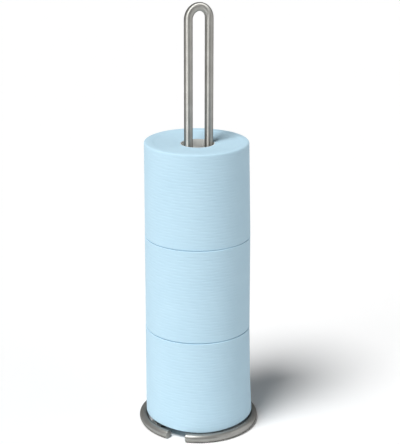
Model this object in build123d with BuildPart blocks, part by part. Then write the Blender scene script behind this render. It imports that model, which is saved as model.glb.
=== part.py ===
from build123d import *

import os
from math import asin, cos, degrees, radians, sin, sqrt

# A free-standing stand for spare toilet rolls, loaded with its rolls. Sizes are in millimetres.
# The loop stands in the XZ plane, the origin is on the floor at the ring's centre, and +Z is up.

# Rolls: paper wound on a cardboard core, named from the floor upwards
roll_names = ("bottom", "middle", "top")
roll_diameter = 111.5
roll_height = 101.6
roll_rim_radius = 1.2
roll_rim_width = 7.0
roll_dish_depth = 2.6
core_wall = 0.45
core_clearance = 0.5
rest_gap = 0.3
# How much wider each roll is than the one that it carries
roll_spread = 1.1
# How far each roll sits off the loop's centre, as a share of the play in its core
roll_drifts = (0.20, 0.40, 0.62)

# Upright loop: one bent bar, with both feet coped over the crossbar
loop_bar_diameter = 8.9
stand_height = 457.8
leg_spacing = 24.8
leg_cope_depth = 3.0

# Base: an open ring and the crossbar that spans it
ring_bar_diameter = 9.2
ring_margin = 3.2
ring_gap = 19.7
ring_gap_bearing = 35.7
ring_flat_depth = 0.25
ring_end_rounding = 0.6
crossbar_diameter = 8.4
crossbar_floor_gap = 0.3
crossbar_cope_depth = 3.0

# Weld beads: angles say how far a bead runs each way round the crossbar or round a leg
ring_bead_radius = 1.6
ring_bead_reach = 33.0
leg_bead_radius = 1.0
leg_bead_reach = 45.0
bead_standoff = 0.2

# Worked out from the sizes above
loop_bar_radius = loop_bar_diameter / 2
ring_bar_radius = ring_bar_diameter / 2
crossbar_radius = crossbar_diameter / 2
roll_radii = [(roll_diameter + above * roll_spread) / 2 for above in reversed(range(len(roll_names)))]
leg_x = leg_spacing / 2
arch_z = stand_height - loop_bar_radius - leg_x
ring_radius = roll_radii[0] + ring_margin
ring_axis_z = ring_bar_radius - ring_flat_depth
ring_gap_angle = 2 * degrees(asin(ring_gap / 2 / ring_radius))
ring_inside_x = ring_radius - ring_bar_radius
crossbar_axis_z = crossbar_floor_gap + crossbar_radius
crossbar_top_z = crossbar_axis_z + crossbar_radius
crossbar_end_x = ring_inside_x + crossbar_cope_depth
leg_foot_z = crossbar_top_z - leg_cope_depth
core_inner_radius = leg_x + loop_bar_radius + core_clearance
core_outer_radius = core_inner_radius + core_wall
core_play = sqrt(core_clearance * (leg_spacing + core_clearance))

# The bottom roll comes down on the crossbar, or on the ring where its rim meets the ring first
rim_reach = (ring_bar_radius + roll_rim_radius) ** 2 - (ring_margin + roll_rim_radius) ** 2
ring_seat_z = ring_axis_z - roll_rim_radius + sqrt(max(rim_reach, 0))
stack_base_z = max(crossbar_top_z, ring_seat_z) + rest_gap


def write(piece, name):
    """Label a finished piece and write it under that name."""
    piece.part.label = name
    export_step(piece.part, f"parts/{name}.step")


def radial_plane(angle):
    """Upright plane through the Z axis: local x points outwards at the angle, local y points up."""
    outwards = Vector(1, 0, 0).rotate(Axis.Z, angle)
    return Plane(origin=(0, 0, 0), x_dir=outwards, z_dir=outwards.cross(Vector(0, 0, 1)))


os.makedirs("parts", exist_ok=True)

# Base ring: an open hoop with rounded cut ends, ground flat underneath so that it stands level
first_end_angle = 180 + ring_gap_bearing + ring_gap_angle / 2
with BuildPart() as base_ring:
    with BuildSketch(radial_plane(first_end_angle)):
        with Locations((ring_radius, ring_axis_z)):
            Circle(ring_bar_radius)
    revolve(axis=Axis.Z, revolution_arc=360 - ring_gap_angle)
    cut_ends = base_ring.faces().filter_by(GeomType.PLANE)
    fillet(cut_ends.edges(), radius=ring_end_rounding)
    split(bisect_by=Plane.XY, keep=Keep.TOP)
write(base_ring, "base_ring")

# Crossbar: spans the ring under the loop, its ends coped to the ring's inside
with BuildPart() as crossbar:
    with BuildSketch(Plane.YZ.offset(-crossbar_end_x)):
        with Locations((0, crossbar_axis_z)):
            Circle(crossbar_radius)
    extrude(amount=2 * crossbar_end_x)
    add(base_ring.part, mode=Mode.SUBTRACT)
write(crossbar, "crossbar")

# Upright loop: straight legs under a half-round arch, the feet shaped to the crossbar
with BuildPart() as upright_loop:
    with BuildLine(Plane.XZ):
        left_leg = Line((-leg_x, leg_foot_z), (-leg_x, arch_z))
        arch = TangentArc(left_leg @ 1, (leg_x, arch_z), tangent=left_leg % 1)
        Line(arch @ 1, (leg_x, leg_foot_z))
    with BuildSketch(Plane(left_leg @ 0, z_dir=left_leg % 0)):
        Circle(loop_bar_radius)
    sweep()
    add(crossbar.part, mode=Mode.SUBTRACT)
write(upright_loop, "upright_loop")


def lay_bead(start, middle, end, radius):
    """Lay a round bead with ball ends along the arc through three points."""
    with BuildLine():
        bead = ThreePointArc(start, middle, end)
    with BuildSketch(Plane(bead @ 0, z_dir=bead % 0)) as bead_section:
        Circle(radius)
    sweep(bead_section.sketch, path=bead)
    with Locations(bead @ 0, bead @ 1):
        Sphere(radius)


def ring_corner(angle):
    """Point in the corner of crossbar and ring, at an angle round the crossbar from its top."""
    y = -(crossbar_radius + bead_standoff) * sin(radians(angle))
    z = crossbar_axis_z + (crossbar_radius + bead_standoff) * cos(radians(angle))
    ring_wall = ring_radius - sqrt(ring_bar_radius**2 - (z - ring_axis_z) ** 2) - bead_standoff
    return (sqrt(ring_wall**2 - y**2), y, z)


# Ring welds: a bead down each flank of the crossbar at both ends, a little proud of the corner
with BuildPart() as ring_welds:
    lay_bead(
        ring_corner(90 - ring_bead_reach),
        ring_corner(90),
        ring_corner(90 + ring_bead_reach),
        ring_bead_radius,
    )
    add(base_ring.part, mode=Mode.SUBTRACT)
    add(crossbar.part, mode=Mode.SUBTRACT)
    mirror(about=Plane.XZ)
    mirror(about=Plane.YZ)
write(ring_welds, "ring_welds")

# Leg welds: a bead in the corner at the front and the back of each leg
reach = radians(leg_bead_reach)
bead_side_x = loop_bar_radius * sin(reach)
bead_side_y = -loop_bar_radius * cos(reach)
bead_side_z = crossbar_axis_z + sqrt(max(crossbar_radius**2 - bead_side_y**2, 0)) + bead_standoff
with BuildPart() as leg_welds:
    lay_bead(
        (leg_x - bead_side_x, bead_side_y - bead_standoff, bead_side_z),
        (leg_x, -loop_bar_radius - bead_standoff, leg_foot_z),
        (leg_x + bead_side_x, bead_side_y - bead_standoff, bead_side_z),
        leg_bead_radius,
    )
    add(upright_loop.part, mode=Mode.SUBTRACT)
    add(crossbar.part, mode=Mode.SUBTRACT)
    mirror(about=Plane.XZ)
    mirror(about=Plane.YZ)
write(leg_welds, "leg_welds")


def wind_paper(centre, roll_radius):
    """Paper wound on a core that stands at the centre: soft rims, the top dished towards the core."""
    with BuildPart() as paper:
        with BuildSketch(Plane(centre, x_dir=(1, 0, 0), z_dir=(0, -1, 0))) as section:
            with BuildLine():
                Polyline(
                    (core_outer_radius, 0),
                    (roll_radius, 0),
                    (roll_radius, roll_height),
                    (roll_radius - roll_rim_width, roll_height),
                    (core_outer_radius, roll_height - roll_dish_depth),
                    close=True,
                )
            make_face()
            fillet(section.vertices().group_by(Axis.X)[-1], radius=roll_rim_radius)
        revolve(axis=Axis(centre, (0, 0, 1)))
    return paper


def roll_core(centre):
    """Cardboard tube at the centre, level with the paper around it at both ends."""
    with BuildPart() as core:
        with BuildSketch(Plane(centre)):
            Circle(core_outer_radius)
            Circle(core_inner_radius, mode=Mode.SUBTRACT)
        extrude(amount=roll_height - roll_dish_depth)
    return core


# Rolls: stacked over the loop, each one resting on the piece below
for level, name in enumerate(roll_names):
    roll_base_z = stack_base_z + level * (roll_height + rest_gap)
    roll_centre = (0, roll_drifts[level] * core_play, roll_base_z)
    write(wind_paper(roll_centre, roll_radii[level]), f"{name}_roll_paper")
    write(roll_core(roll_centre), f"{name}_roll_core")
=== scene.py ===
# %% [markdown]
# # A spare-roll stand, from bare frame to finished picture
#
# The object is a satin steel stand for spare toilet rolls: a tall loop of round bar stands on a
# crossbar inside an open ring, and three pale blue rolls are threaded over it.
#
# The steel is already exact in the frame, so it keeps its shape here and only gets a finish. Paper
# is soft and wound, which a plain solid can't show, so the rolls, their cores and the weld beads are
# modelled again in this lesson. Everything is in metres, with the floor at height zero.

# %% Load the frame
from math import cos, pi, radians, sin

import bmesh
import bpy
import numpy as np
from mathutils import Matrix, Vector


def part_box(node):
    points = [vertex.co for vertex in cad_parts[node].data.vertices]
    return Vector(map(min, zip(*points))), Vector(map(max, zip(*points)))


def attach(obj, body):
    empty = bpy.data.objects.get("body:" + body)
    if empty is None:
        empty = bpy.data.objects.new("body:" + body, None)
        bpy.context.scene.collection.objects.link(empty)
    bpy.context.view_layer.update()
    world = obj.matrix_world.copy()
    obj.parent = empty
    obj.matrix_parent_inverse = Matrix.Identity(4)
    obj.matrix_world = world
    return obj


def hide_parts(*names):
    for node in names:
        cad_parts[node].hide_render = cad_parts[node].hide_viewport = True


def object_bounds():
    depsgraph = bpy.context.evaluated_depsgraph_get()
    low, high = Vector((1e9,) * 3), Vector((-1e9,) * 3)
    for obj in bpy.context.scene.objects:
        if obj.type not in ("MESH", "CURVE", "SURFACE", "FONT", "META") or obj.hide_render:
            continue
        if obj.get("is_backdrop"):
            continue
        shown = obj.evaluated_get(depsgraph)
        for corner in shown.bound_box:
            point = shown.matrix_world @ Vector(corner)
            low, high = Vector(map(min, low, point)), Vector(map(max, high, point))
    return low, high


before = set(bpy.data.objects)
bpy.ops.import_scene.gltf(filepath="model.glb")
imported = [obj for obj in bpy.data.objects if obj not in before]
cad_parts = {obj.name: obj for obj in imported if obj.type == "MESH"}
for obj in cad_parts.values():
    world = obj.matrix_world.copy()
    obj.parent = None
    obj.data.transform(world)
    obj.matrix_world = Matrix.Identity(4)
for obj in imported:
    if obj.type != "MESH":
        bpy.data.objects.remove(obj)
cad_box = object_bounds()
mm = 0.001

# %% [markdown]
# ## Small tools for working by hand
#
# An operator acts on everything that is selected, so each piece starts from a clean selection. Inside
# edit mode, points and edges are picked by where they are, which is what a hand would do by eye.
# Points are also read and written as one array, so that a formula can move them all at once, which is
# the script's version of a sculpting stroke.


# %% Helpers for selecting and shaping
def clear_selection():
    """Go back to object mode with nothing selected."""
    if bpy.context.mode != "OBJECT":
        bpy.ops.object.mode_set(mode="OBJECT")
    bpy.ops.object.select_all(action="DESELECT")


def take_up(piece):
    """Make one piece the only selected one."""
    clear_selection()
    piece.select_set(True)
    bpy.context.view_layer.objects.active = piece


def pick_points(piece, wanted):
    """In edit mode, select the points whose place passes the test."""
    bpy.ops.mesh.select_mode(type="VERT")
    bpy.ops.mesh.select_all(action="DESELECT")
    work = bmesh.from_edit_mesh(piece.data)
    for point in work.verts:
        point.select_set(wanted(point.co))
    work.select_flush_mode()
    bmesh.update_edit_mesh(piece.data)


def pick_edges(piece, wanted):
    """In edit mode, select the edges whose two ends both pass the test."""
    bpy.ops.mesh.select_mode(type="EDGE")
    bpy.ops.mesh.select_all(action="DESELECT")
    work = bmesh.from_edit_mesh(piece.data)
    for edge in work.edges:
        edge.select_set(all(wanted(point.co) for point in edge.verts))
    bmesh.update_edit_mesh(piece.data)


def read_points(piece):
    """All the points of a mesh, one row each."""
    flat = np.empty(3 * len(piece.data.vertices))
    piece.data.vertices.foreach_get("co", flat)
    return flat.reshape(-1, 3)


def write_points(piece, places):
    """Put every point of a mesh at its new place."""
    piece.data.vertices.foreach_set("co", places.ravel())
    piece.data.update()


def smooth_shade(piece, crease=radians(40)):
    """Shade a piece softly, with a crease only where faces meet at more than this angle."""
    take_up(piece)
    bpy.ops.object.shade_smooth_by_angle(angle=crease)


print("helpers ready")

# %% [markdown]
# ## The rolls
#
# A toilet roll is one long soft sheet wound on a cardboard core. Up close it isn't a plain cylinder:
# the wall carries shallow embossed ribs, the end faces show the winding as a fine spiral, the rims
# are soft, and somewhere the sheet ends in a torn edge that stands a little proud. Nor is it quite
# round: it is slacker on one side, and the bottom roll has a soft foot.
#
# It could be made from a cylinder with a picture on it, but then the outline stays dead straight.
# Here the roll's section is drawn as a rectangle, its outer corners are rounded, and it is spun once
# round the core like clay on a wheel. The turn is left open where the sheet ends. Formulas then press
# in the ribs, the spiral and the rest, and the step at the sheet's end is closed with a bridge.

# %% Sizes of the rolls
roll_names = ("bottom", "middle", "top")
core_low, core_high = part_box("top_roll_core")
bore_radius = (core_high.x - core_low.x) / 2
dish_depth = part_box("top_roll_paper")[1].z - core_high.z
rim_radius = 0.5 * mm
top_rims = {"bottom": rim_radius, "middle": rim_radius, "top": 2.2 * mm}
rim_flat = 7.0 * mm
rib_pitch = 3.2 * mm
rib_points = 8
layer_pitch = 1.2 * mm
layer_points = 4
turn_steps = 144
print(f"each roll is wound on a core {2 * bore_radius / mm:.1f} mm across")


# %% Draw the section of a roll
def draw_section(name, roll_radius, top_rim, middle_y, low, high):
    """Outline of the wound paper on one side of the core, outer corners rounded."""
    centre = Vector(((bore_radius + roll_radius) / 2, middle_y, (low + high) / 2))
    clear_selection()
    bpy.ops.mesh.primitive_plane_add(size=1, location=centre, rotation=(pi / 2, 0, 0))
    section = bpy.context.object
    section.name = name
    section.data.name = name
    bpy.ops.object.transform_apply(location=True, rotation=True, scale=True)
    bpy.ops.object.mode_set(mode="EDIT")
    bpy.ops.mesh.select_all(action="SELECT")
    spread = (roll_radius - bore_radius, 1, high - low)
    bpy.ops.transform.resize(value=spread, center_override=centre)
    pick_points(section, lambda place: place.x > centre.x and place.z < centre.z)
    bpy.ops.mesh.bevel(offset=rim_radius, segments=4, affect="VERTICES")
    pick_points(section, lambda place: place.x > centre.x and place.z > centre.z)
    bpy.ops.mesh.bevel(offset=top_rim, segments=6, affect="VERTICES")
    bpy.ops.mesh.select_all(action="SELECT")
    bpy.ops.mesh.delete(type="ONLY_FACE")
    return section


def divide_picked(pieces):
    """Divide the picked edges into about this many pieces, in two goes because one go has a limit."""
    first_cuts = 3
    bpy.ops.mesh.subdivide(number_cuts=first_cuts)
    bpy.ops.mesh.subdivide(number_cuts=round(pieces / (first_cuts + 1)) - 1)


def divide_section(section, roll_radius, low, high):
    """Give the wall enough points for its ribs, and both end faces enough for the spiral."""
    near = 0.01 * mm
    pick_edges(section, lambda place: place.x > roll_radius - near)
    divide_picked((high - low) / rib_pitch * rib_points)
    for face_z in (low, high):
        pick_edges(section, lambda place: abs(place.z - face_z) < near)
        divide_picked((roll_radius - bore_radius) / layer_pitch * layer_points)


print("section helpers ready")

# %% [markdown]
# ### Strokes that shape a spun roll
#
# Each stroke below is a formula for one feature of the paper. It is told where the points are on the
# roll, by radius, height above the roll's foot and bearing round it, and works out how they move.
# Written one by one, the strokes can be tried, changed or left out, as a hand would try them.

# %% Ribs on the wall
rib_depth = 0.15 * mm
long_sway = 0.9
short_sway = 0.7


def smooth_step(share):
    """Ease from 0 to 1 without a corner at either end."""
    share = np.clip(share, 0, 1)
    return share * share * (3 - 2 * share)


def wave(bearing, height, count, lean):
    """Waves from -1 to 1, so many of them round the roll, leaning by so many radians a metre."""
    return np.sin(count * bearing + lean * height)


def rib_relief(bearing, height, tall):
    """Depth of the ribs: level rows that sway, break off here and there, and stop short of the rims."""
    sway = long_sway * wave(bearing, height, count=3, lean=40)
    sway += short_sway * wave(bearing, height, count=13, lean=-310)
    ribs = 0.5 - 0.5 * np.cos(2 * pi * height / rib_pitch + sway)
    broken = wave(bearing, height, count=19, lean=700) * wave(bearing, height, count=7, lean=-450)
    strength = 0.5 + 0.5 * np.clip(2 * broken, -1, 1)
    past_rim = smooth_step((np.minimum(height, tall - height) - rim_radius) / rib_pitch)
    return rib_depth * ribs * strength * past_rim


print(f"ribs {rib_depth / mm:.2f} mm deep, every {rib_pitch / mm:.1f} mm")

# %% The end of the sheet
tail_bearings = {"bottom": radians(35), "middle": radians(68), "top": radians(48)}
sheet_step = 0.35 * mm
tail_share = 0.035
tail_lift = 0.4 * mm
tail_waver = 0.2
waver_rate = 130
tooth_pitch = 2.2 * mm
tooth_depth = 0.5 * mm


def sheet_relief(turn, height):
    """How far the outer layer stands out: it starts one step in, and its torn end lifts off."""
    lifting = smooth_step((turn - 1 + tail_share) / tail_share)
    uneven = 1 - tail_waver + tail_waver * np.sin(waver_rate * height)
    return tail_lift * lifting * uneven - sheet_step * (1 - turn)


def tear(turn, height):
    """How far small teeth are cut back into the very end of the sheet."""
    at_end = turn > 1 - 0.5 / turn_steps
    teeth = 0.5 + 0.5 * np.cos(2 * pi * height / tooth_pitch)
    return tooth_depth * teeth * at_end


print(f"sheet ends lift by {tail_lift / mm:.1f} mm")

# %% The slack side and the soft foot
slack_bearing = radians(-32)
slacks = {"bottom": 0.0, "middle": 0.45 * mm, "top": 0.85 * mm}
tapers = {"bottom": 2.4 * mm, "middle": 0.5 * mm, "top": 2.3 * mm}
seam_gaps = {"bottom": 0.0, "middle": 0.3 * mm, "top": 0.12 * mm}
# The foot's edge sags at this bearing and opposite it, and curls up between
foot_bearing = radians(-118)
foot_reach = 40 * mm
foot_swell = 0.9 * mm
foot_curl = 3.4 * mm
curl_ease = 0.02
foot_drop = 1.1 * mm


def settle(level, radius, height, bearing, roll_radius, tall):
    """Pull a roll in on its slack side, open the seam under it, and soften the bottom roll's foot."""
    slack_side = np.maximum(np.cos(bearing - slack_bearing), 0)
    slimmer = slack_side * (slacks[level] + tapers[level] * (height / tall - 0.5))
    radius = radius - slimmer * smooth_step((radius - bore_radius) / (roll_radius - bore_radius))
    by_wall = smooth_step((radius - roll_radius + rim_flat) / rim_flat)
    by_foot = by_wall * smooth_step(1 - height / foot_reach)
    to_the_side = np.sqrt(np.sin(bearing - foot_bearing) ** 2 + curl_ease)
    rise = seam_gaps[level]
    if level == "bottom":
        rise = rise + foot_curl * to_the_side - foot_drop
        radius = radius + foot_swell * slack_side * by_foot
    return radius, height + rise * by_foot


print(f"the bottom roll's foot swells by {foot_swell / mm:.1f} mm")

# %% The end faces
proud_width = 8.5 * mm
proud_ease = 3.0 * mm
proud_height = 0.5 * mm
layer_depth = 0.14 * mm
uneven_layers = 7.3


def dish(radius, height, roll_radius, tall):
    """How far the top face sinks towards the core, inside a band at the rim that stands proud."""
    flat_radius = roll_radius - rim_flat
    inwards = np.clip((flat_radius - radius) / (flat_radius - bore_radius), 0, 1)
    sunk = (dish_depth - proud_height) * inwards
    sunk += proud_height * smooth_step((roll_radius - proud_width - radius) / proud_ease)
    return sunk * smooth_step((height - tall / 2) / (tall / 2 - rim_radius))


def layer_relief(radius, height, bearing, turn, roll_radius, tall):
    """Rise of each point where a fine spiral groove runs between the layers on both end faces."""
    spiral = 0.5 - 0.5 * np.cos(2 * pi * (radius / layer_pitch - turn))
    uneven = 0.6 + 0.4 * np.sin(2 * pi * radius / (uneven_layers * layer_pitch) + 2 * bearing)
    inside_face = smooth_step((roll_radius - radius) / rim_radius)
    inside_face *= smooth_step((radius - bore_radius) / layer_pitch)
    near_face = np.abs(height - tall / 2) > tall / 2 - rim_flat
    groove = layer_depth * spiral * uneven * inside_face * near_face
    return np.where(height > tall / 2, -groove, groove)


print(f"the top face is dished by {dish_depth / mm:.1f} mm")


# %% Press the strokes into a roll
def press_winding(roll, level, row_points, roll_radius, middle_y, low, high):
    """Shape a spun roll, one stroke after another."""
    places = read_points(roll)
    radius = np.hypot(places[:, 0], places[:, 1] - middle_y)
    height = places[:, 2] - low
    tall = high - low
    # Each step of the spin adds one row of points, so a point's number says how far it has turned
    turn = np.arange(len(places)) // row_points / turn_steps
    bearing = tail_bearings[level] + 2 * pi * turn

    outside = smooth_step((radius - (roll_radius - rim_radius)) / rim_radius)
    radius += (sheet_relief(turn, height) - rib_relief(bearing, height, tall)) * outside
    radius, height = settle(level, radius, height, bearing, roll_radius, tall)
    bearing -= tear(turn, height) * outside / roll_radius
    height -= dish(radius, height, roll_radius, tall)
    height += layer_relief(radius, height, bearing, turn, roll_radius, tall)

    places[:, 0] = radius * np.cos(bearing)
    places[:, 1] = middle_y + radius * np.sin(bearing)
    places[:, 2] = low + height
    write_points(roll, places)


print("strokes ready")


# %% Spin, press and close each roll
def wind_roll(level):
    """Model one roll of paper in the place of the frame's plain one."""
    low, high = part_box(f"{level}_roll_paper")
    roll_radius = (high.x - low.x) / 2
    middle_y = (low.y + high.y) / 2
    roll = draw_section(f"{level}_roll_winding", roll_radius, top_rims[level], middle_y, low.z, high.z)
    divide_section(roll, roll_radius, low.z, high.z)
    bpy.ops.object.mode_set(mode="OBJECT")
    row_points = len(roll.data.vertices)
    bpy.ops.object.mode_set(mode="EDIT")
    bpy.ops.mesh.select_all(action="SELECT")
    bpy.ops.mesh.spin(
        steps=turn_steps, angle=2 * pi, center=(0, middle_y, 0), axis=(0, 0, 1), use_auto_merge=False
    )
    bpy.ops.object.mode_set(mode="OBJECT")
    press_winding(roll, level, row_points, roll_radius, middle_y, low.z, high.z)
    bpy.ops.object.mode_set(mode="EDIT")
    bpy.ops.mesh.select_mode(type="EDGE")
    bpy.ops.mesh.select_all(action="DESELECT")
    bpy.ops.mesh.select_non_manifold(use_wire=False, use_multi_face=False, use_non_contiguous=False)
    bpy.ops.mesh.bridge_edge_loops()
    bpy.ops.mesh.select_all(action="SELECT")
    bpy.ops.mesh.remove_doubles(threshold=0.0001 * mm)
    bpy.ops.mesh.normals_make_consistent(inside=False)
    smooth_shade(roll)
    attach(roll, f"{level}_roll")
    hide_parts(f"{level}_roll_paper")
    print(roll.name, "has", len(roll.data.polygons), "faces")
    return roll


windings = [wind_roll(level) for level in roll_names]

# %% [markdown]
# ## The cores
#
# Each core is a tube of pale board, wound from two narrow plies laid at a slant. The edge of the
# inner ply shows as a slanting line down the bore. A plain tube would look like plastic pipe, so the
# wall is divided finely and each ply's edge is raised a hair before the wall gets its thickness.

# %% Model the cores
glue_gap = 0.02 * mm
core_radius = bore_radius - glue_gap
core_wall = 0.45 * mm
core_sides = 96
core_cuts = 90
ply_width = 62 * mm
ply_edge = 0.10 * mm


def roll_core(level):
    """A spiral-wound tube in the place of the frame's plain one."""
    low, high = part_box(f"{level}_roll_core")
    middle = (low + high) / 2
    clear_selection()
    bpy.ops.mesh.primitive_cylinder_add(
        vertices=core_sides,
        radius=core_radius,
        depth=high.z - low.z,
        end_fill_type="NOTHING",
        location=middle,
    )
    core = bpy.context.object
    core.name = f"{level}_roll_tube"
    core.data.name = core.name
    bpy.ops.object.transform_apply(location=True, rotation=True, scale=True)
    bpy.ops.object.mode_set(mode="EDIT")
    # Only the upright edges are divided, so the wall gets level rows of points
    work = bmesh.from_edit_mesh(core.data)
    for edge in work.edges:
        edge.select_set(abs(edge.verts[0].co.z - edge.verts[1].co.z) > mm)
    bmesh.update_edit_mesh(core.data)
    bpy.ops.mesh.subdivide(number_cuts=core_cuts)
    bpy.ops.object.mode_set(mode="OBJECT")
    places = read_points(core)
    across = places[:, :2] - np.array(middle[:2])
    bearing = np.arctan2(across[:, 1], across[:, 0])
    along_ply = (places[:, 2] - low.z) / ply_width + bearing / (2 * pi)
    shrink = 1 - ply_edge * (along_ply % 1) / core_radius
    places[:, :2] = np.array(middle[:2]) + across * shrink[:, None]
    write_points(core, places)
    wall = core.modifiers.new("board thickness", "SOLIDIFY")
    wall.thickness = core_wall - ply_edge
    wall.offset = -1
    bpy.ops.object.modifier_apply(modifier=wall.name)
    smooth_shade(core)
    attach(core, f"{level}_roll")
    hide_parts(f"{level}_roll_core")
    print(core.name, "has", len(core.data.polygons), "faces")
    return core


cores = [roll_core(level) for level in roll_names]

# %% [markdown]
# ## The weld beads
#
# The crossbar is welded into the ring, and the loop to the crossbar. A weld bead is laid in short
# pulses, so it is a row of small overlapping ripples and not a smooth sausage. The frame's beads
# have the right place and size, so a copy of each is meshed evenly and rippled along its length.

# %% Ripple the beads
bead_grain = 0.16 * mm
ripple_pitch = 0.9 * mm
ripple_height = 0.10 * mm
ripple_middle = 0.6
bead_floor_gap = 0.1 * mm
leg_bead_slant = 1.3


def ripple_bead(node_name, name, length_along):
    """Copy a frame bead, mesh it evenly and raise ripples along it."""
    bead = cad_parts[node_name].copy()
    bead.data = bead.data.copy()
    bead.name = name
    # The copy must not carry the tags that mark a frame piece
    for tag in list(bead.keys()):
        del bead[tag]
    bead.parent = None
    bpy.context.scene.collection.objects.link(bead)
    take_up(bead)
    bpy.ops.object.mode_set(mode="EDIT")
    bpy.ops.mesh.select_all(action="SELECT")
    bpy.ops.mesh.remove_doubles(threshold=0.001 * mm)
    bpy.ops.object.mode_set(mode="OBJECT")
    even = bead.modifiers.new("even mesh", "REMESH")
    even.mode = "VOXEL"
    even.voxel_size = bead_grain
    bpy.ops.object.modifier_apply(modifier=even.name)
    places = read_points(bead)
    outward = np.empty(3 * len(places))
    bead.data.vertices.foreach_get("normal", outward)
    ripple = np.abs(np.sin(pi * length_along(places) / ripple_pitch))
    places += ripple_height * (ripple[:, None] - ripple_middle) * outward.reshape(-1, 3)
    places[:, 2] = np.maximum(places[:, 2], bead_floor_gap)
    write_points(bead, places)
    smooth_shade(bead, crease=radians(60))
    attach(bead, "stand")
    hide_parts(node_name)
    print(bead.name, "has", len(bead.data.polygons), "faces")
    return bead


crossbar_low, crossbar_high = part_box("crossbar")
crossbar_z = (crossbar_low.z + crossbar_high.z) / 2
leg_low, leg_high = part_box("upright_loop")
bar_radius = (leg_high.y - leg_low.y) / 2
leg_x = leg_high.x - bar_radius


def round_the_crossbar(places):
    """Length along a bead that goes round a flank of the crossbar."""
    return bar_radius * np.arctan2(places[:, 1], places[:, 2] - crossbar_z)


def beside_the_leg(places):
    """Length along a bead in the corner at the foot of a leg."""
    return np.abs(np.abs(places[:, 0]) - leg_x) * leg_bead_slant


ring_beads = ripple_bead("ring_welds", "ring_weld_beads", round_the_crossbar)
leg_beads = ripple_bead("leg_welds", "leg_weld_beads", beside_the_leg)

# %% [markdown]
# ## Finishes
#
# A finish is a small graph of nodes. Each one starts from where a point is on the piece, makes a
# pattern from that, and sends the pattern to colour, roughness and fine bump. The helpers below keep
# those graphs short to write.


# %% Helpers for finishes
def new_finish(name):
    """An empty node material with its shader, and the place that a point has on its piece."""
    finish = bpy.data.materials.new(name)
    finish.use_nodes = True
    shader = finish.node_tree.nodes["Principled BSDF"]
    place = finish.node_tree.nodes.new("ShaderNodeTexCoord").outputs["Object"]
    return finish, shader, place


def add_node(finish, kind, inputs=None, **settings):
    """Add a node, set its options, and link or set each named input."""
    node = finish.node_tree.nodes.new(kind)
    for option, value in settings.items():
        setattr(node, option, value)
    for key, value in (inputs or {}).items():
        if isinstance(value, bpy.types.NodeSocket):
            finish.node_tree.links.new(value, node.inputs[key])
        else:
            node.inputs[key].default_value = value
    return node


def calculate(finish, operation, first, second=0.0, third=0.0):
    """One step of arithmetic in a finish."""
    terms = {0: first, 1: second, 2: third}
    return add_node(finish, "ShaderNodeMath", terms, operation=operation).outputs[0]


def blend_colours(finish, share, low, high):
    """Go from one colour to another as the share goes from 0 to 1."""
    colours = {0: share, 6: (*low, 1), 7: (*high, 1)}
    return add_node(finish, "ShaderNodeMix", colours, data_type="RGBA").outputs[2]


def remap(finish, value, low, high, to_low=0.0, to_high=1.0):
    """Map a stretch of values onto another one."""
    span = {0: value, 1: low, 2: high, 3: to_low, 4: to_high}
    return add_node(finish, "ShaderNodeMapRange", span).outputs[0]


def noise(finish, place, scale, detail=2.0, roughness=0.5):
    """A soft random pattern, so many blotches to the metre."""
    sizes = {"Vector": place, "Scale": scale, "Detail": detail, "Roughness": roughness}
    return add_node(finish, "ShaderNodeTexNoise", sizes).outputs[0]


def stretch(finish, place, scale):
    """Squeeze or stretch the place along its three directions."""
    return add_node(finish, "ShaderNodeMapping", {"Vector": place, "Scale": scale}).outputs[0]


def add_bump(finish, shader, height, depth, strength=1.0):
    """Raise the surface in shading by a height pattern of this depth in metres."""
    relief = {"Height": height, "Distance": depth, "Strength": strength}
    bump = add_node(finish, "ShaderNodeBump", relief)
    finish.node_tree.links.new(bump.outputs[0], shader.inputs["Normal"])


def feed(finish, shader, **sockets):
    """Link patterns to the shader's sockets; an underscore stands for a space in a socket's name."""
    for name, source in sockets.items():
        finish.node_tree.links.new(source, shader.inputs[name.replace("_", " ")])


print("finish helpers ready")

# %% [markdown]
# ### Satin steel
#
# The stand is one steel with two finishes. The loop is bright drawn bar, rubbed down round its girth,
# so a lamp shows as a stripe along it. Anisotropy makes that stripe: it draws the shine out along a
# direction that the finish is told, up the legs and round the arch. The ring and the crossbar are
# duller, and scatter light alike in every direction, a part of it as a matt surface does. Their
# colour is also painted darker than the loop's, as painted shade.

# %% Make the steel
steel_dark = (0.488, 0.482, 0.452)
steel_light = (0.553, 0.548, 0.517)
edge_shine = 0.07
grain_spread = 0.10
grain_depth = 0.01 * mm
arch_z = leg_high.z - bar_radius - leg_x


def satin_steel(name, lightness, metal, roughness):
    """Steel with a fine even grain and a slightly cloudy tone."""
    finish, shader, place = new_finish(name)
    shader.inputs["Metallic"].default_value = metal
    shader.inputs["Specular Tint"].default_value = (edge_shine, edge_shine, edge_shine, 1)
    dark = [lightness * part for part in steel_dark]
    light = [lightness * part for part in steel_light]
    cloud = remap(finish, noise(finish, place, scale=90, detail=3.0), 0.35, 0.65)
    grain = noise(finish, place, scale=5200, roughness=0.6)
    feed(
        finish, shader,
        Base_Color=blend_colours(finish, cloud, dark, light),
        Roughness=calculate(finish, "MULTIPLY_ADD", grain, grain_spread, roughness - grain_spread / 2),
    )
    add_bump(finish, shader, grain, grain_depth, strength=0.5)
    return finish


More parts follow.
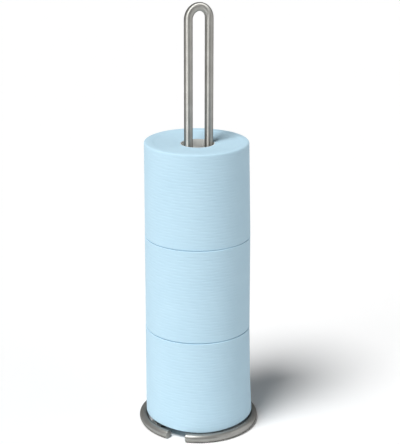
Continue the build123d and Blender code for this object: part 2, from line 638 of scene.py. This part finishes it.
def along_the_loop(finish):
    """Direction of the bar in the loop: up the legs, and round the arch above them."""
    place = add_node(finish, "ShaderNodeTexCoord").outputs["Object"]
    parts = add_node(finish, "ShaderNodeSeparateXYZ", {0: place})
    rise = calculate(finish, "MAXIMUM", calculate(finish, "SUBTRACT", parts.outputs[2], arch_z), 0.0)
    spoke = add_node(finish, "ShaderNodeCombineXYZ", {0: parts.outputs[0], 2: rise}).outputs[0]
    across = (0, 1, 0)
    crossed = add_node(finish, "ShaderNodeVectorMath", {0: spoke, 1: across}, operation="CROSS_PRODUCT")
    unit = add_node(finish, "ShaderNodeVectorMath", {0: crossed.outputs[0]}, operation="NORMALIZE")
    return unit.outputs[0]


def rub_down(finish, anisotropy, direction):
    """Draw the shine of a finish out along a direction."""
    shader = finish.node_tree.nodes["Principled BSDF"]
    shader.inputs["Anisotropic"].default_value = anisotropy
    feed(finish, shader, Tangent=direction)


bright_bar = satin_steel("satin steel, loop", lightness=1.16, metal=1.0, roughness=0.62)
rub_down(bright_bar, anisotropy=0.985, direction=along_the_loop(bright_bar))
# The base's steel is painted darker, at lightness 0.67 against 1.16 for the loop, as painted shade
dull_bar_with_painted_shade = satin_steel("satin steel, base", lightness=0.67, metal=0.75, roughness=0.36)
steel_by_node = {"upright_loop": bright_bar, "base_ring": dull_bar_with_painted_shade, "crossbar": dull_bar_with_painted_shade}
for node_name, finish in steel_by_node.items():
    for material_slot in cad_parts[node_name].material_slots:
        material_slot.material = finish
print("steel on", ", ".join(steel_by_node))

# %% [markdown]
# ### Weld metal
#
# The beads are the same steel, but cast and only wire-brushed, so they are rougher, a little darker,
# and shine the same in every direction.

# %% Make the weld metal
weld_dark = (0.30, 0.285, 0.26)
weld_light = (0.46, 0.45, 0.43)


def weld_metal():
    """Cast steel with a fine scale in its hollows."""
    finish, shader, place = new_finish("weld metal")
    shader.inputs["Metallic"].default_value = 1.0
    scale = noise(finish, place, scale=1400, detail=3.0)
    tone = remap(finish, scale, 0.3, 0.7)
    feed(
        finish, shader,
        Base_Color=blend_colours(finish, tone, weld_dark, weld_light),
        Roughness=remap(finish, scale, 0.3, 0.7, 0.42, 0.28),
    )
    add_bump(finish, shader, scale, depth=0.03 * mm, strength=0.6)
    return finish


weld_finish = weld_metal()
for bead in (ring_beads, leg_beads):
    bead.data.materials.clear()
    bead.data.materials.append(weld_finish)
print("weld metal on", ring_beads.name, "and", leg_beads.name)

# %% [markdown]
# ### Tissue paper
#
# The paper is dyed a pale, slightly greenish blue. It is matt all over, its fibres make a soft
# speckle, and the dye is a touch uneven. The ribs are already in the mesh, so the finish only adds
# what is finer than a rib: the crinkle of the sheet and its fibres.

# %% Make the paper
paper_deep = (0.525, 0.745, 0.880)
paper_pale = (0.565, 0.785, 0.915)


def tissue_paper():
    """Matt dyed tissue with a fine crinkle."""
    finish, shader, place = new_finish("tissue paper")
    shader.inputs["Sheen Weight"].default_value = 0.08
    shader.inputs["Sheen Roughness"].default_value = 0.6
    shader.inputs["Specular IOR Level"].default_value = 0.2
    patches = noise(finish, place, scale=38, detail=3.0)
    level_place = stretch(finish, place, (1, 1, 2.6))
    crinkle = noise(finish, level_place, scale=620, detail=3.0, roughness=0.6)
    fibres = noise(finish, place, scale=2600, roughness=0.6)
    tone = calculate(finish, "MULTIPLY_ADD", fibres, 0.5, calculate(finish, "MULTIPLY", patches, 0.5))
    feed(
        finish, shader,
        Base_Color=blend_colours(finish, remap(finish, tone, 0.3, 0.7), paper_deep, paper_pale),
        Roughness=remap(finish, fibres, 0.2, 0.8, 0.82, 0.98),
    )
    relief = calculate(finish, "MULTIPLY_ADD", crinkle, 0.7, calculate(finish, "MULTIPLY", fibres, 0.3))
    add_bump(finish, shader, relief, depth=0.14 * mm, strength=0.55)
    return finish


paper_finish = tissue_paper()
for roll in windings:
    roll.data.materials.append(paper_finish)
print("paper on", len(windings), "rolls")

# %% [markdown]
# ### Core board
#
# The cores are pale grey board with short flecks of fibre. The slanting edge of the inner ply is
# already in the mesh, so the finish adds only the flecks and the soft tooth of the pulp.

# %% Make the board
board_dark = (0.90, 0.91, 0.88)
board_light = (0.98, 0.99, 0.96)


def core_board():
    """Pale grey board with flecks."""
    finish, shader, place = new_finish("core board")
    shader.inputs["Specular IOR Level"].default_value = 0.2
    level_place = stretch(finish, place, (1, 1, 3))
    flecks = noise(finish, level_place, scale=900, detail=3.0, roughness=0.65)
    pulp = noise(finish, place, scale=160)
    tone = calculate(finish, "MULTIPLY_ADD", flecks, 0.6, calculate(finish, "MULTIPLY", pulp, 0.4))
    feed(
        finish, shader,
        Base_Color=blend_colours(finish, remap(finish, tone, 0.35, 0.65), board_dark, board_light),
        Roughness=remap(finish, flecks, 0.3, 0.7, 0.85, 0.97),
    )
    add_bump(finish, shader, flecks, depth=0.08 * mm, strength=0.5)
    return finish


board_finish = core_board()
for core in cores:
    core.data.materials.append(board_finish)
print("board on", len(cores), "cores")

# %% [markdown]
# ## Floor, light and camera
#
# The stand is shown on a white floor that runs out of the picture. A soft high lamp from the front
# left throws the shadow to the right and back. A low one beside it shows the wall's roundness and the
# stripe down the steel, and a wide one from the right keeps that side open. Seen directly or in the
# steel, the floor and the room are paler than the light that they throw at the paper, so the picture
# is white without more light on the stand.

# %% Lay the floor
floor_size = 40.0
floor_seen = 1.06
floor_lit = 0.86


def seen_or_lit(finish, lit, seen):
    """One strength to the eye and in reflections, and another as a source of light."""
    rays = add_node(finish, "ShaderNodeLightPath").outputs
    looked_at = calculate(finish, "MAXIMUM", rays["Is Camera Ray"], rays["Is Glossy Ray"])
    looked_at = calculate(finish, "MAXIMUM", looked_at, rays["Is Transmission Ray"])
    return remap(finish, looked_at, 0.0, 1.0, lit, seen)


def floor_finish():
    """White floor with a faint speckle."""
    finish, shader, place = new_finish("white floor")
    finish.node_tree.nodes.remove(shader)
    speckle = remap(finish, noise(finish, place, scale=60), 0.0, 1.0, 0.99, 1.01)
    white = calculate(finish, "MULTIPLY", speckle, seen_or_lit(finish, floor_lit, floor_seen))
    matt = add_node(finish, "ShaderNodeBsdfDiffuse", {"Color": white})
    output = finish.node_tree.nodes["Material Output"]
    finish.node_tree.links.new(matt.outputs[0], output.inputs["Surface"])
    return finish


clear_selection()
bpy.ops.mesh.primitive_plane_add(size=floor_size, location=(0, 0, 0))
floor = bpy.context.object
floor.name = "floor"
floor.data.materials.append(floor_finish())
floor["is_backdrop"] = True
print("floor laid")

# %% Set the lamps and the world
camera_heading = radians(-31.962)


def shine_from(bearing, height):
    """Turn that makes a sun shine from a bearing right of the camera and a height above the floor."""
    heading = camera_heading + bearing
    towards = Vector((sin(heading) * cos(height), -cos(heading) * cos(height), sin(height)))
    return towards.to_track_quat("Z", "Y").to_euler()


def hang_lamp(name, bearing, height, softness, strength):
    """A soft distant lamp; its bearing, height and softness are in degrees."""
    lamp = bpy.data.lights.new(name, "SUN")
    lamp.energy = strength
    lamp.angle = radians(softness)
    hung = bpy.data.objects.new(name, lamp)
    hung.rotation_euler = shine_from(radians(bearing), radians(height))
    bpy.context.scene.collection.objects.link(hung)


hang_lamp("key lamp", bearing=-43, height=62, softness=25, strength=2.80)
hang_lamp("low lamp", bearing=-46, height=8, softness=16, strength=0.68)
hang_lamp("side lamp", bearing=80, height=10, softness=80, strength=0.98)

world_seen = 0.25
world_lit = 0.05
world = bpy.data.worlds.new("studio")
bpy.context.scene.world = world
world.use_nodes = True
backdrop = world.node_tree.nodes["Background"]
backdrop.inputs["Color"].default_value = (1, 1, 1, 1)
glow = seen_or_lit(world, world_lit, world_seen)
world.node_tree.links.new(glow, backdrop.inputs["Strength"])
print("lamps and world set")

# %% Place the camera
camera_place = Vector((-0.68687, -1.10373, 0.65518))
camera_dip = radians(18.244)
camera_lean = radians(0.081)
camera_lens = 105.34

view = bpy.data.cameras.new("view")
view.lens = camera_lens
view.clip_end = 100
camera = bpy.data.objects.new("view", view)
aim = Matrix.Rotation(camera_heading, 4, "Z") @ Matrix.Rotation(pi / 2 - camera_dip, 4, "X")
camera.matrix_world = Matrix.Translation(camera_place) @ aim @ Matrix.Rotation(camera_lean, 4, "Z")
bpy.context.scene.collection.objects.link(camera)
bpy.context.scene.camera = camera
bpy.context.scene.view_settings.view_transform = "Standard"
print("camera at", [round(value, 3) for value in camera_place])

# %% [markdown]
# ## Check the size and finish
#
# The dressed stand should fill the same box as the bare frame, so how far the top corner of its box
# grew is printed.

# %% Print how far the box grew
visual_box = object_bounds()
growth = [round((dressed - bare) / mm, 2) for bare, dressed in zip(cad_box[1], visual_box[1])]
print("box grew by", growth, "mm")
